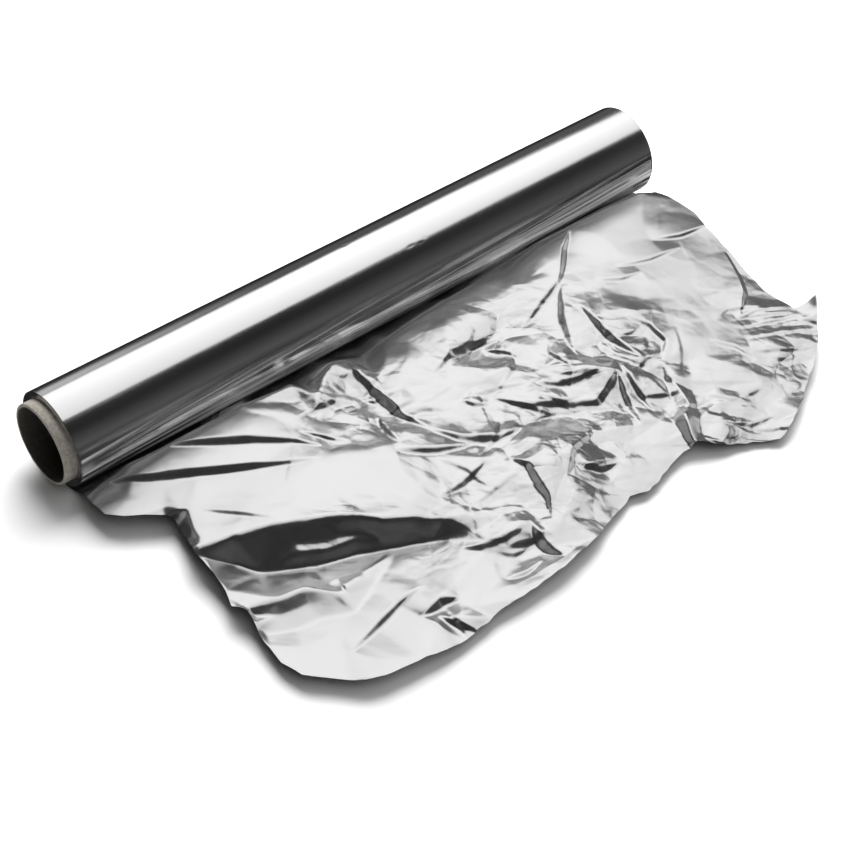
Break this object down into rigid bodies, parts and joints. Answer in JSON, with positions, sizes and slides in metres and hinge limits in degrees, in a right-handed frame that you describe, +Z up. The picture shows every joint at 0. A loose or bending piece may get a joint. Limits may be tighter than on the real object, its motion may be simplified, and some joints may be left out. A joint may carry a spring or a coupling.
{
  "type": "aluminium foil roll",
  "caption": "Household roll of aluminium foil on a paperboard core, lying on its side with a crumpled length pulled out in front of it.",
  "frame": {"origin": "on the roll's axis, halfway along the width of the foil; the floor is one roll radius (20 mm) below it", "axes": "+X along the roll's axis, away from the end where the core stands out; +Z up; the pulled-out length spreads towards -Y"},
  "size_m": [0.305, 0.1899, 0.0401],
  "materials": {
    "paperboard": "matt grey-brown spiral-wound board",
    "foil": "bright rolled foil"
  },
  "bodies": {
    "root": {"core_tube": "paperboard", "foil_roll": "foil", "foil_sheet": "foil"}
  },
  "joints": []
}
